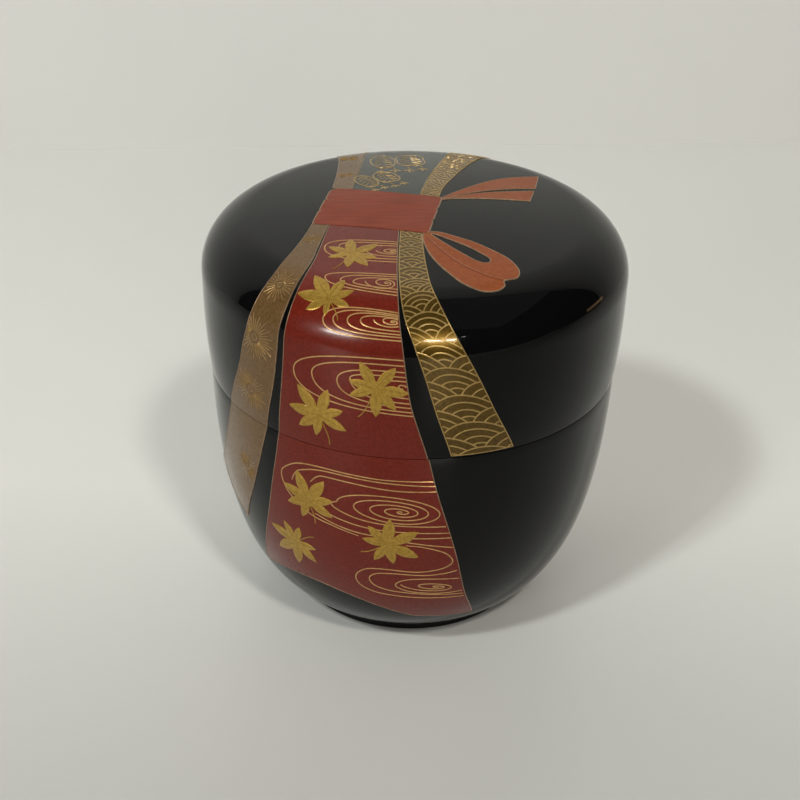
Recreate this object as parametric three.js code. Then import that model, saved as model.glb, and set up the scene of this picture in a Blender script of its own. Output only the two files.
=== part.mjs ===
// A round lacquered tea caddy with a lift-off lid, decorated with tied ribbons.
// Millimetres, +Z up. The origin is on the axis, on the surface that the foot stands on.
// The front of the decoration faces -Y, and compass angles are counted from there towards +X.
//
// Two turned wooden pieces come apart: the lid, and the body whose raised inner rim the lid slips over.
// The ribbons, their tie and its bow are thin raised layers of coloured lacquer on those two pieces.

import * as THREE from 'three';

// Driving dimensions.
const DIAMETER = 66;
const HEIGHT = 66.8;
const SEAM_HEIGHT = 41.6;            // where the lid meets the body
const RIM_HEIGHT = 8;                // the body's inner rim, above the seam
const WALL = 2;                      // turned wood, lid and body
const LID_TRAVEL_GAP = 0.1;          // between the lid's lower edge and the body's shoulder
const RIM_CLEARANCE = 0.25;          // between the inner rim and the lid's bore
const SIDES = 64;                    // facets round the turned pieces
const LAYER_GAP = 0.1;               // keeps a lacquer layer's facets clear of the wood's
const LAYER_THICKNESS = 0.15;

// Lid, outside: a low dome, a rounded shoulder and a side that draws in towards its lower edge.
const RADIUS = DIAMETER / 2;
const DOME_RISE = 1.25;
const SHOULDER_WIDTH = 7.6;
const SHOULDER_HEIGHT = 8;
const SHOULDER_FULLNESS = 0.53;      // handle length of the shoulder curve, as a share of its size
const LID_TAPER = 0.7;               // how far the lid's lower edge is inside the full radius
const DOME_RADIUS = RADIUS - SHOULDER_WIDTH;
const DOME_EDGE = HEIGHT - DOME_RISE;
const DOME_SLOPE = 2 * DOME_RISE / DOME_RADIUS;
const SIDE_TOP = DOME_EDGE - SHOULDER_HEIGHT;
const LID_FOOT_RADIUS = RADIUS - LID_TAPER;
const LID_BOTTOM = SEAM_HEIGHT + LID_TRAVEL_GAP;
const LID_BORE = LID_FOOT_RADIUS - 1.3;
const LID_CEILING = HEIGHT - 2.8;
const CEILING_CORNER = 7;            // radius between the lid's ceiling and its bore

// Body, outside: a side that falls almost straight, then curves under to a low foot.
const BODY_RADIUS = LID_FOOT_RADIUS - 0.04;
const FOOT_RADIUS = 19.7;
const FOOT_HEIGHT = 1.1;
const FOOT_RING_WIDTH = 2.2;
const FOOT_HOLLOW = 0.7;             // depth of the hollow inside the foot ring
const BELLY_DROP = 30.5;             // length of the belly curve's upper handle
const BELLY_DRAW = 0.4;              // how far that handle leans in
const UNDERSIDE_RUN = 5.3;           // the belly curve's lower handle, outwards and upwards
const UNDERSIDE_RISE = 4.4;

// Body, inside.
const RIM_OUTER_RADIUS = LID_BORE - RIM_CLEARANCE;
const RIM_INNER_RADIUS = RIM_OUTER_RADIUS - 1.3;
const RIM_TOP = SEAM_HEIGHT + RIM_HEIGHT;
const CAVITY_FLOOR = FOOT_HEIGHT + WALL + 0.6;
const CAVITY_FLAT = 15;              // radius of the flat part of the cavity's floor
const EDGE_BREAK = 0.3;              // small chamfer on turned edges

const v2 = (x, y) => new THREE.Vector2(x, y);

// The outer surface as one meridian: the lid from its centre down to its edge, then the body.
function lidMeridian() {
  const path = new THREE.CurvePath();
  const handle = SHOULDER_FULLNESS * SHOULDER_WIDTH;
  const sideHeight = SIDE_TOP - LID_BOTTOM;
  path.add(new THREE.QuadraticBezierCurve(
    v2(0, HEIGHT), v2(DOME_RADIUS / 2, HEIGHT), v2(DOME_RADIUS, DOME_EDGE)));
  path.add(new THREE.CubicBezierCurve(
    v2(DOME_RADIUS, DOME_EDGE), v2(DOME_RADIUS + handle, DOME_EDGE - DOME_SLOPE * handle),
    v2(RADIUS, SIDE_TOP + SHOULDER_FULLNESS * SHOULDER_HEIGHT), v2(RADIUS, SIDE_TOP)));
  path.add(new THREE.CubicBezierCurve(
    v2(RADIUS, SIDE_TOP), v2(RADIUS, SIDE_TOP - sideHeight / 3),
    v2(RADIUS, SIDE_TOP - sideHeight * 2 / 3), v2(LID_FOOT_RADIUS, LID_BOTTOM)));
  return path;
}

function bodyMeridian() {
  return new THREE.CubicBezierCurve(
    v2(BODY_RADIUS, SEAM_HEIGHT), v2(BODY_RADIUS - BELLY_DRAW, SEAM_HEIGHT - BELLY_DROP),
    v2(FOOT_RADIUS + UNDERSIDE_RUN, FOOT_HEIGHT + UNDERSIDE_RISE), v2(FOOT_RADIUS, FOOT_HEIGHT));
}

const LID_LINE = lidMeridian();
const BODY_LINE = bodyMeridian();
const LID_LENGTH = LID_LINE.getLength();

// A turned solid from a profile that runs up its outside. The profile starts and ends on the axis.
function turned(name, profile, material) {
  const geometry = new THREE.LatheGeometry(profile, SIDES);
  geometry.rotateX(Math.PI / 2);
  const mesh = new THREE.Mesh(geometry, material);
  mesh.name = name;
  return mesh;
}

function lacquer(color, roughness, metalness) {
  return new THREE.MeshStandardMaterial({ color, roughness, metalness });
}

const BLACK = lacquer(0x0b0c0d, 0.12, 0);
const VERMILION = lacquer(0xb0432a, 0.42, 0);
const MAPLE_RED = lacquer(0x7a2617, 0.35, 0.1);
const WAVE_GOLD = lacquer(0xb08a3c, 0.35, 0.9);
const COPPER = lacquer(0x6f4c2c, 0.4, 0.7);
const PINE_GREEN = lacquer(0x2c3a24, 0.4, 0.2);

function makeLid() {
  const ceilingFlat = LID_BORE - CEILING_CORNER;
  const ceilingCorner = new THREE.EllipseCurve(
    ceilingFlat, LID_CEILING - CEILING_CORNER, CEILING_CORNER, CEILING_CORNER, Math.PI / 2, 0, true);
  const [dome, shoulder, side] = LID_LINE.curves;
  const outside = [
    ...side.getPoints(6).reverse().slice(0, -1),
    ...shoulder.getPoints(10).reverse().slice(0, -1),
    ...dome.getPoints(3).reverse(),
  ];
  outside[0] = v2(LID_FOOT_RADIUS, LID_BOTTOM + EDGE_BREAK);
  const profile = [
    v2(0, LID_CEILING),
    ...ceilingCorner.getPoints(6),
    v2(LID_BORE, LID_BOTTOM + EDGE_BREAK),
    v2(LID_BORE + EDGE_BREAK, LID_BOTTOM),
    v2(LID_FOOT_RADIUS - EDGE_BREAK, LID_BOTTOM),
    ...outside,
  ];
  return turned('lid', profile, BLACK);
}

function makeBody() {
  const hollowRadius = FOOT_RADIUS - FOOT_RING_WIDTH;
  const innerWall = new THREE.CubicBezierCurve(
    v2(RIM_INNER_RADIUS, SEAM_HEIGHT), v2(RIM_INNER_RADIUS - BELLY_DRAW, SEAM_HEIGHT - BELLY_DROP),
    v2(CAVITY_FLAT + 2 * UNDERSIDE_RUN, CAVITY_FLOOR), v2(CAVITY_FLAT, CAVITY_FLOOR));
  const profile = [
    v2(0, FOOT_HOLLOW),
    v2(hollowRadius - FOOT_HOLLOW, FOOT_HOLLOW),
    v2(hollowRadius, 0),
    v2(FOOT_RADIUS, 0),
    ...BODY_LINE.getPoints(14).reverse().slice(0, -1),
    v2(BODY_RADIUS - EDGE_BREAK / 2, SEAM_HEIGHT),
    v2(RIM_OUTER_RADIUS, SEAM_HEIGHT),
    v2(RIM_OUTER_RADIUS, RIM_TOP - EDGE_BREAK),
    v2(RIM_OUTER_RADIUS - EDGE_BREAK, RIM_TOP),
    v2(RIM_INNER_RADIUS + EDGE_BREAK, RIM_TOP),
    v2(RIM_INNER_RADIUS, RIM_TOP - EDGE_BREAK),
    ...innerWall.getPoints(12),
    v2(0, CAVITY_FLOOR),
  ];
  return turned('body', profile, BLACK);
}

// Decoration is laid out on the outer surface rolled flat: a place is the point at `reach` millimetres
// down the meridian from the lid's centre, in the compass direction `degrees`.
function place(degrees, reach) {
  const angle = THREE.MathUtils.degToRad(degrees);
  return v2(reach * Math.sin(angle), -reach * Math.cos(angle));
}

// The point of the surface for a place on the flat layout, moved outwards by `lift`.
function onSurface(flat, lift) {
  const reach = flat.length();
  const onLid = reach < LID_LENGTH;
  const line = onLid ? LID_LINE : BODY_LINE;
  const share = onLid ? reach / LID_LENGTH : (reach - LID_LENGTH) / BODY_LINE.getLength();
  const point = onLid ? line.getPoint(share) : line.getPointAt(share);
  const tangent = onLid ? line.getTangent(share) : line.getTangentAt(share);
  const radius = point.x - tangent.y * lift;
  const height = point.y + tangent.x * lift;
  return new THREE.Vector3(radius * flat.x / reach, radius * flat.y / reach, height);
}

// How a row runs from one edge of a layer to the other: straight on the flat layout, level round
// the axis, or straight at the tie and level at the seam.
const STRAIGHT = () => 0;
const LEVEL = () => 1;
const STRAIGHT_TO_LEVEL = (along) => along;

function across(start, end, share, levelness) {
  const straight = start.clone().lerp(end, share);
  const turn = Math.atan2(start.x * end.y - start.y * end.x, start.dot(end)) * share;
  const reach = THREE.MathUtils.lerp(start.length(), end.length(), share);
  const level = start.clone().rotateAround(v2(0, 0), turn).setLength(reach);
  return straight.lerp(level, levelness);
}

// A closed layer on the surface from a grid of places: `rows` by `columns` cells, where
// gridPlace(i, j) gives the place of a corner. A ring joins its last row to its first.
function layer(name, rows, columns, gridPlace, material, ring = false) {
  const positions = [];
  const rowCount = ring ? rows : rows + 1;
  const perFace = rowCount * (columns + 1);
  for (const lift of [LAYER_GAP + LAYER_THICKNESS, LAYER_GAP]) {
    for (let i = 0; i < rowCount; i++) {
      for (let j = 0; j <= columns; j++) {
        positions.push(...onSurface(gridPlace(i, j), lift));
      }
    }
  }
  const outer = (i, j) => (i % rowCount) * (columns + 1) + j;
  const inner = (i, j) => outer(i, j) + perFace;
  const indices = [];
  const quad = (a, b, c, d) => indices.push(a, b, c, a, c, d);
  for (let i = 0; i < rows; i++) {
    for (let j = 0; j < columns; j++) {
      quad(outer(i, j), outer(i + 1, j), outer(i + 1, j + 1), outer(i, j + 1));
      quad(inner(i, j), inner(i, j + 1), inner(i + 1, j + 1), inner(i + 1, j));
    }
    quad(outer(i, 0), inner(i, 0), inner(i + 1, 0), outer(i + 1, 0));
    quad(outer(i, columns), outer(i + 1, columns), inner(i + 1, columns), inner(i, columns));
  }
  for (let j = 0; j < columns && !ring; j++) {
    quad(outer(0, j), outer(0, j + 1), inner(0, j + 1), inner(0, j));
    quad(outer(rows, j), inner(rows, j), inner(rows, j + 1), outer(rows, j + 1));
  }
  const geometry = new THREE.BufferGeometry();
  geometry.setAttribute('position', new THREE.Float32BufferAttribute(positions, 3));
  geometry.setIndex(indices);
  geometry.computeVertexNormals();
  const mesh = new THREE.Mesh(geometry, material);
  mesh.name = name;
  return mesh;
}

// A strip of lacquer between two edges, each a smooth curve through a few places. They are the strip's
// right-hand and left-hand edges to somebody who walks along it on the surface, away from the tie.
// farEnd gives how much of the strip's length it covers, for a share of its width.
function strip(name, rightPlaces, leftPlaces, rows, columns, levelness, material, farEnd = () => 1) {
  const right = new THREE.SplineCurve(rightPlaces);
  const left = new THREE.SplineCurve(leftPlaces);
  const gridPlace = (i, j) => {
    const share = j / columns;
    const along = i / rows * farEnd(share);
    return across(right.getPoint(along), left.getPoint(along), share, levelness(along));
  };
  return layer(name, rows, columns, gridPlace, material);
}

// The layers stop short of the seam by this much, on either side of it.
const SEAM_MARGIN = 0.4;
const LID_END = LID_LENGTH - SEAM_MARGIN;
const BODY_START = LID_LENGTH + SEAM_MARGIN;

// The tie: a broad band wrapped round the bundle, left of the lid's centre.
function makeTieBand() {
  return strip('tie_band',
    [v2(-13.3, 6.7), v2(-15.3, -6.5)], [v2(3.8, 2.9), v2(1.95, -9.95)],
    8, 8, STRAIGHT, VERMILION);
}

// The bow's loop: a ring of ribbon round an almond-shaped opening, nicked where it folds over.
function makeBowLoop() {
  const outline = new THREE.SplineCurve([
    v2(2.2, -10.5), v2(3.9, -10.3), v2(6.0, -11.1), v2(8.4, -12.4), v2(10.7, -14.3), v2(13.0, -16.5),
    v2(14.3, -18.8), v2(14.7, -20.6), v2(14.2, -22.1), v2(12.6, -23.1), v2(12.5, -24.2), v2(11.4, -25.4),
    v2(9.2, -25.8), v2(6.9, -24.6), v2(5.1, -22.3), v2(3.5, -19.7), v2(2.4, -17.1), v2(1.75, -14.4),
    v2(1.7, -12.1), v2(2.2, -10.5),
  ]);
  const opening = new THREE.SplineCurve([
    v2(2.9, -11.1), v2(3.6, -11.1), v2(4.5, -11.6), v2(5.9, -12.6), v2(7.7, -13.9), v2(9.4, -15.6),
    v2(10.4, -16.7), v2(10.75, -17.6), v2(10.3, -18.4), v2(9.4, -18.4), v2(8.2, -17.6), v2(6.5, -15.8),
    v2(5.1, -14.2), v2(3.9, -12.7), v2(3.2, -11.9), v2(2.9, -11.1),
  ]);
  const rows = 40;
  const columns = 4;
  const gridPlace = (i, j) => {
    const along = i / rows;
    return opening.getPoint(along).lerp(outline.getPoint(along), j / columns);
  };
  return layer('bow_loop', rows, columns, gridPlace, VERMILION, true);
}

// The bow's two tails leave the tie together and part at a slit.
function makeBowTails() {
  const upper = strip('bow_tail_upper',
    [v2(4.5, 3.1), v2(8.2, 5.65), v2(10.8, 7.15), v2(13.5, 8.25), v2(18.8, 9.8)],
    [v2(4.3, 3.6), v2(8.5, 8.4), v2(11.5, 11.4), v2(14.3, 13.4), v2(19.7, 15.6)],
    12, 3, STRAIGHT, VERMILION);
  const lower = strip('bow_tail_lower',
    [v2(4.6, 2.45), v2(8.0, 3.4), v2(10.7, 3.7), v2(13.0, 3.85), v2(17.6, 4.0)],
    [v2(4.5, 2.75), v2(8.3, 5.2), v2(10.6, 6.15), v2(13.1, 6.9), v2(18.5, 8.3)],
    12, 3, STRAIGHT, VERMILION);
  return [upper, lower];
}

// The maple ribbon's bottom edge rises in a bow, over the part of its width nearer its right-hand edge.
const BOW_SHARE = 0.72;
const BOW_RISE = 0.11;               // as a share of the ribbon's length on the body
const BOWED = (share) => 1 - BOW_RISE * Math.sin(Math.PI * Math.min(share / BOW_SHARE, 1) ** 0.9);

// The front ribbons fan out from the tie's front edge and fall over the shoulder.
function makeMapleRibbon() {
  const onLid = strip('maple_ribbon_lid',
    [v2(-12.7, -7.3), v2(-14.3, -18.9), place(-33, 30), place(-32.7, 36.5), place(-34, 44.5),
      place(-36.2, LID_END)],
    [v2(-2.6, -9.4), v2(-2.6, -20.2), place(-4.3, 29.5), place(-2.6, 35), place(0, 44.5), place(4.4, LID_END)],
    28, 8, STRAIGHT_TO_LEVEL, MAPLE_RED);
  const onBody = strip('maple_ribbon_body',
    [place(-36.4, BODY_START), place(-38.8, 60), place(-43, 69), place(-48, 76.4), place(-53.5, 83.5)],
    [place(4.7, BODY_START), place(8, 61), place(13.4, 71.5), place(18, 81), place(24, 88.7)],
    18, 13, LEVEL, MAPLE_RED, BOWED);
  return [onLid, onBody];
}

function makeChrysanthemumRibbon() {
  const onLid = strip('chrysanthemum_ribbon_lid',
    [v2(-15.3, -6.8), v2(-16.7, -12.9), v2(-19.3, -20.0), place(-43.6, 32.4), place(-44.9, 36.4),
      place(-47.3, 40.4), place(-50.6, 46), place(-57, LID_END)],
    [v2(-13.1, -7.25), v2(-14.2, -13.4), v2(-15.5, -20.4), place(-34.6, 31.3), place(-34.8, 35.7),
      place(-35.5, 40.4), place(-37.2, 46), place(-40.7, LID_END)],
    28, 4, STRAIGHT_TO_LEVEL, COPPER);
  const onBody = strip('chrysanthemum_ribbon_body',
    [place(-57, BODY_START), place(-62, 60), place(-69, 66), place(-78, 71)],
    [place(-40.7, BODY_START), place(-44.9, 60.5), place(-50.3, 67.8), place(-57.5, 75.2)],
    12, 4, LEVEL, COPPER);
  return [onLid, onBody];
}

function makeFrontWaveRibbon() {
  return strip('wave_ribbon_front',
    [v2(-2.2, -9.5), v2(-2.2, -20.4), place(-3, 29.5), place(0.4, 35), place(6, 45.3), place(10.4, LID_END)],
    [v2(0.8, -10.2), v2(1.6, -20.4), place(6.2, 28), place(12, 35.6), place(20.5, 45.6), place(27, LID_END)],
    28, 5, STRAIGHT_TO_LEVEL, WAVE_GOLD);
}

// The back ribbons leave the tie's back edge and fall down the far side.
function makeBackCopperRibbon() {
  return strip('copper_ribbon_back',
    [v2(-10.4, 6.5), v2(-9.65, 14.6), v2(-9.15, 23.2), place(-164, 32), place(-163.5, 40), place(-161, 48)],
    [v2(-13.2, 7.1), v2(-12.9, 13.4), v2(-13.1, 21.8), place(-153, 32), place(-151.5, 40), place(-147, 48)],
    26, 3, STRAIGHT, COPPER);
}

function makePineRibbon() {
  const onLid = strip('pine_ribbon_back_lid',
    [v2(0.5, 4.0), v2(2.0, 12.6), v2(4.6, 23.2), place(167.5, 32), place(167.5, 42), place(167, LID_END)],
    [v2(-10.0, 6.4), v2(-9.35, 14.8), v2(-8.8, 23.6), place(-165.2, 32), place(-165, 42),
      place(-163.5, LID_END)],
    26, 6, STRAIGHT_TO_LEVEL, PINE_GREEN);
  const onBody = strip('pine_ribbon_back_body',
    [place(167, BODY_START), place(166, 60), place(164, 68), place(160, 76)],
    [place(-163.3, BODY_START), place(-161, 60), place(-157, 68), place(-152, 74)],
    12, 7, LEVEL, PINE_GREEN);
  return [onLid, onBody];
}

function makeBackWaveRibbon() {
  return strip('wave_ribbon_back',
    [v2(3.4, 3.4), v2(4.7, 9.4), v2(9.7, 22.4), place(153, 32), place(149, 40), place(144, 48)],
    [v2(0.8, 3.9), v2(2.3, 12.4), v2(4.9, 23.2), place(166.3, 32), place(165, 40), place(162, 48)],
    26, 4, STRAIGHT, WAVE_GOLD);
}

const group = new THREE.Group();
group.add(
  makeLid(),
  makeBody(),
  makeTieBand(),
  makeBowLoop(),
  ...makeBowTails(),
  ...makeMapleRibbon(),
  ...makeChrysanthemumRibbon(),
  makeFrontWaveRibbon(),
  makeBackCopperRibbon(),
  ...makePineRibbon(),
  makeBackWaveRibbon(),
);

export default group;
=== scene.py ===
# A lacquered tea caddy with a lift-off lid, decorated with tied ribbons in raised lacquer and gold.
# Lengths are in millimetres until a mesh is made, which is in metres.
import math

import bpy
import numpy as np
from mathutils import Matrix, Vector


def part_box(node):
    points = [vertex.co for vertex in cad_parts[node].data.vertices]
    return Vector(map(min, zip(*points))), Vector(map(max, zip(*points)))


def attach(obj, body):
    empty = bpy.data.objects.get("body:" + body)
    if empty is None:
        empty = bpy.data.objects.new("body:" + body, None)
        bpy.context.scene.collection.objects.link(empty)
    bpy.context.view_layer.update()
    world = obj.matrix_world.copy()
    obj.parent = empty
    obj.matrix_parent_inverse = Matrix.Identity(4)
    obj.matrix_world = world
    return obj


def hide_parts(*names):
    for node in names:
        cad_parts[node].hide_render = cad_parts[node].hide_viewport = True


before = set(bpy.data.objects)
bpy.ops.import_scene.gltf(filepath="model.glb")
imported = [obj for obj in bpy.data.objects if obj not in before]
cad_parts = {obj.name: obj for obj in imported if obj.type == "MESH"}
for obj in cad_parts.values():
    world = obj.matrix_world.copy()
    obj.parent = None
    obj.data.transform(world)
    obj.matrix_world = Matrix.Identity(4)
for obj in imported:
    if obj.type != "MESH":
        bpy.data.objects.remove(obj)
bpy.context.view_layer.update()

MM = 0.001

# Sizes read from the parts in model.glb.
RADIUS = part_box("lid")[1].x / MM
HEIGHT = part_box("lid")[1].z / MM
LID_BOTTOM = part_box("lid")[0].z / MM
RIM_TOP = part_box("body")[1].z / MM

# The turned profiles, as the CAD model has them.
SEAM_HEIGHT = LID_BOTTOM - 0.1
DOME_RISE = 1.25
SHOULDER_WIDTH = 7.6
SHOULDER_HEIGHT = 8.0
SHOULDER_FULLNESS = 0.53
LID_TAPER = 0.7
WALL = 2.0
LID_BORE = RADIUS - LID_TAPER - 1.3
LID_CEILING = HEIGHT - 2.8
CEILING_CORNER = 7.0
BODY_RADIUS = RADIUS - LID_TAPER - 0.04
FOOT_RADIUS = 19.7
FOOT_HEIGHT = 1.1
FOOT_RING_WIDTH = 2.2
FOOT_HOLLOW = 0.7
BELLY_DROP = 30.5
BELLY_DRAW = 0.4
UNDERSIDE_RUN = 5.3
UNDERSIDE_RISE = 4.4
RIM_OUTER_RADIUS = LID_BORE - 0.25
RIM_INNER_RADIUS = RIM_OUTER_RADIUS - 1.3
CAVITY_FLOOR = FOOT_HEIGHT + WALL + 0.6
CAVITY_FLAT = 15.0
EDGE_ROUND = 0.3
SEAM_ROUND = 0.08
TURNED_SIDES = 288

# Heights of the raised work above the wood.
SINK = -0.03
RIBBON_LIFT = 0.09
BAND_LIFT = 0.16
LINE_LIFT = 0.15
LEAF_LIFT = 0.17
BOW_LIFT = RIBBON_LIFT + 0.03

# The ribbons stop this far from the seam, their meshes have these steps, and water lines this width.
SEAM_MARGIN = 0.02
RIBBON_STEP = 0.45
RIBBON_STEP_ACROSS = 1.6 * RIBBON_STEP
WATER_WIDTH = 0.25


# ---- curves and the outer surface

def bezier(points, count=160):
    """Points along a Bezier curve of degree 2 or 3."""
    t = np.linspace(0, 1, count)[:, None]
    p = np.array(points, float)
    if len(p) == 3:
        return (1 - t) ** 2 * p[0] + 2 * (1 - t) * t * p[1] + t ** 2 * p[2]
    return ((1 - t) ** 3 * p[0] + 3 * (1 - t) ** 2 * t * p[1]
            + 3 * (1 - t) * t ** 2 * p[2] + t ** 3 * p[3])


def lid_curves():
    """The lid's outline in three curves, as (radius, height) points from its centre to its lower edge."""
    dome_radius = RADIUS - SHOULDER_WIDTH
    dome_edge = HEIGHT - DOME_RISE
    slope = 2 * DOME_RISE / dome_radius
    handle = SHOULDER_FULLNESS * SHOULDER_WIDTH
    side_top = dome_edge - SHOULDER_HEIGHT
    third = (side_top - LID_BOTTOM) / 3
    dome = [(0, HEIGHT), (dome_radius / 2, HEIGHT), (dome_radius, dome_edge)]
    shoulder = [(dome_radius, dome_edge), (dome_radius + handle, dome_edge - slope * handle),
                (RADIUS, side_top + SHOULDER_FULLNESS * SHOULDER_HEIGHT), (RADIUS, side_top)]
    side = [(RADIUS, side_top), (RADIUS, side_top - third),
            (RADIUS, side_top - 2 * third), (RADIUS - LID_TAPER, LID_BOTTOM)]
    return dome, shoulder, side


def body_curve():
    """The body's outline, from the seam down to the foot."""
    return [(BODY_RADIUS, SEAM_HEIGHT), (BODY_RADIUS - BELLY_DRAW, SEAM_HEIGHT - BELLY_DROP),
            (FOOT_RADIUS + UNDERSIDE_RUN, FOOT_HEIGHT + UNDERSIDE_RISE), (FOOT_RADIUS, FOOT_HEIGHT)]


class Meridian:
    """A line down the outer surface, read by the distance along it."""

    def __init__(self, points, start):
        steps = np.hypot(*np.diff(points, axis=0).T)
        keep = np.r_[True, steps > 1e-9]
        self.points = points[keep]
        self.reach = start + np.r_[0, np.cumsum(steps[steps > 1e-9])]
        self.end = self.reach[-1]
        tangent = np.gradient(self.points, self.reach, axis=0)
        length = np.hypot(*tangent.T)
        self.normal = np.c_[-tangent[:, 1], tangent[:, 0]] / length[:, None]

    def read(self, reach):
        """The radius and height there, and how far outwards and upwards the surface faces."""
        return [np.interp(reach, self.reach, line) for line in (*self.points.T, *self.normal.T)]


LID_LINE = Meridian(np.vstack([bezier(curve) for curve in lid_curves()]), 0)
BODY_LINE = Meridian(bezier(body_curve(), 400), LID_LINE.end)


def on_surface(flat, lift):
    """Points of the outer surface for places on the flat layout, moved outwards by lift.

    The flat layout is the outer surface rolled flat: a place's distance from the middle is the
    distance down the meridian from the lid's centre, and its direction is the compass direction.
    """
    flat = np.asarray(flat, float)
    reach = np.maximum(np.hypot(flat[..., 0], flat[..., 1]), 1e-6)
    below = reach > LID_LINE.end
    both = zip(LID_LINE.read(reach), BODY_LINE.read(reach))
    radius, height, outwards, upwards = (np.where(below, b, a) for a, b in both)
    radius = radius + outwards * lift
    height = height + upwards * lift
    return np.stack([radius * flat[..., 0] / reach, radius * flat[..., 1] / reach, height], axis=-1)


def place(degrees, reach):
    """A place on the flat layout, from a compass direction counted from the front, and a reach."""
    angle = math.radians(degrees)
    return (reach * math.sin(angle), -reach * math.cos(angle))


def catmull_rom(before, here, after, beyond, w):
    """Points of uniform Catmull-Rom spans, at the shares w of the way from here to after."""
    v0 = (after - before) / 2
    v1 = (beyond - here) / 2
    return ((2 * here - 2 * after + v0 + v1) * w ** 3
            + (3 * after - 3 * here - 2 * v0 - v1) * w ** 2 + v0 * w + here)


def spline(points, count=160):
    """A smooth curve through the points, its ends as the CAD model's curves have them."""
    p = np.array(points, float)
    spans = len(p) - 1
    t = np.linspace(0, spans, count)
    i = np.minimum(t.astype(int), spans - 1)
    return catmull_rom(p[np.maximum(i - 1, 0)], p[i], p[i + 1], p[np.minimum(i + 2, spans)], (t - i)[:, None])


def closed_curve(points, count):
    """A smooth curve that passes through the points and closes on itself."""
    p = np.array(points, float)
    t = np.linspace(0, len(p), count, endpoint=False)
    i = t.astype(int)
    return catmull_rom(*(p[(i + k) % len(p)] for k in (-1, 0, 1, 2)), (t - i)[:, None])


class Strip:
    """A ribbon on the surface, between its right-hand and left-hand edges walking away from the tie.

    Its rows run straight across the flat layout where levelness is 0, and level round the axis
    where it is 1. A place on it is a distance along its middle and a share of its width.
    """

    def __init__(self, right, left, level_start, level_end):
        self.right = spline(right)
        self.left = spline(left)
        self.t = np.linspace(0, 1, len(self.right))
        self.levels = (level_start, level_end)
        middle = on_surface(self._across(self.t, 0.5), 0)
        steps = np.linalg.norm(np.diff(middle, axis=0), axis=1)
        self.distance = np.r_[0, np.cumsum(steps)]
        self.length = self.distance[-1]
        shares = np.linspace(0, 1, 9)
        rows = np.stack([on_surface(self._across(self.t, u), 0) for u in shares])
        self.widths = np.linalg.norm(np.diff(rows, axis=0), axis=2).sum(axis=0)
        self.scaled = np.r_[0, np.cumsum(steps / ((self.widths[1:] + self.widths[:-1]) / 2))]

    def _across(self, t, share):
        t, share = np.broadcast_arrays(np.asarray(t, float), np.asarray(share, float))
        edge = lambda line: np.stack([np.interp(t, self.t, line[:, k]) for k in (0, 1)], axis=-1)
        a, b = edge(self.right), edge(self.left)
        straight = a + (b - a) * share[..., None]
        turn = np.arctan2(a[..., 0] * b[..., 1] - a[..., 1] * b[..., 0], (a * b).sum(axis=-1)) * share
        reach_a = np.hypot(a[..., 0], a[..., 1])
        reach = reach_a + (np.hypot(b[..., 0], b[..., 1]) - reach_a) * share
        cos, sin = np.cos(turn), np.sin(turn)
        level = np.stack([cos * a[..., 0] - sin * a[..., 1], sin * a[..., 0] + cos * a[..., 1]], axis=-1)
        level = level * (reach / reach_a)[..., None]
        levelness = self.levels[0] + (self.levels[1] - self.levels[0]) * t
        return straight + (level - straight) * levelness[..., None]

    def place(self, distance, share):
        """The place at a distance along the ribbon, in millimetres, and a share across it.

        Just before its start, where it runs on under the tie, it carries straight on.
        """
        distance = np.asarray(distance, float)
        here = self._across(np.interp(distance, self.distance, self.t), share)
        ahead = self._across(np.interp(0.5, self.distance, self.t), share)
        return here + (here - ahead) * (np.maximum(-distance, 0) / 0.5)[..., None]

    def holds(self, flats, margin):
        """Truth values, one for each place: whether it lies on the ribbon."""
        along = np.linspace(0, self.length, 260)
        across = np.linspace(-0.3, 1.3, 81)
        distances, shares = np.meshgrid(along, across, indexing="ij")
        grid = self.place(distances, shares).reshape(-1, 2)
        gap = ((np.asarray(flats)[:, None, :] - grid[None, :, :]) ** 2).sum(axis=2)
        nearest = gap.argmin(axis=1)
        share = shares.ravel()[nearest]
        distance = distances.ravel()[nearest]
        return (share > margin) & (share < 1 - margin) & (distance > 0.1) & (distance < self.length - 0.1)

    def width(self, distance):
        return float(np.interp(distance, self.distance, self.widths))

    def unscale(self, scaled):
        """The distance along the ribbon for a length counted in local widths."""
        return np.interp(scaled, self.scaled, self.distance)


# ---- meshes

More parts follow.
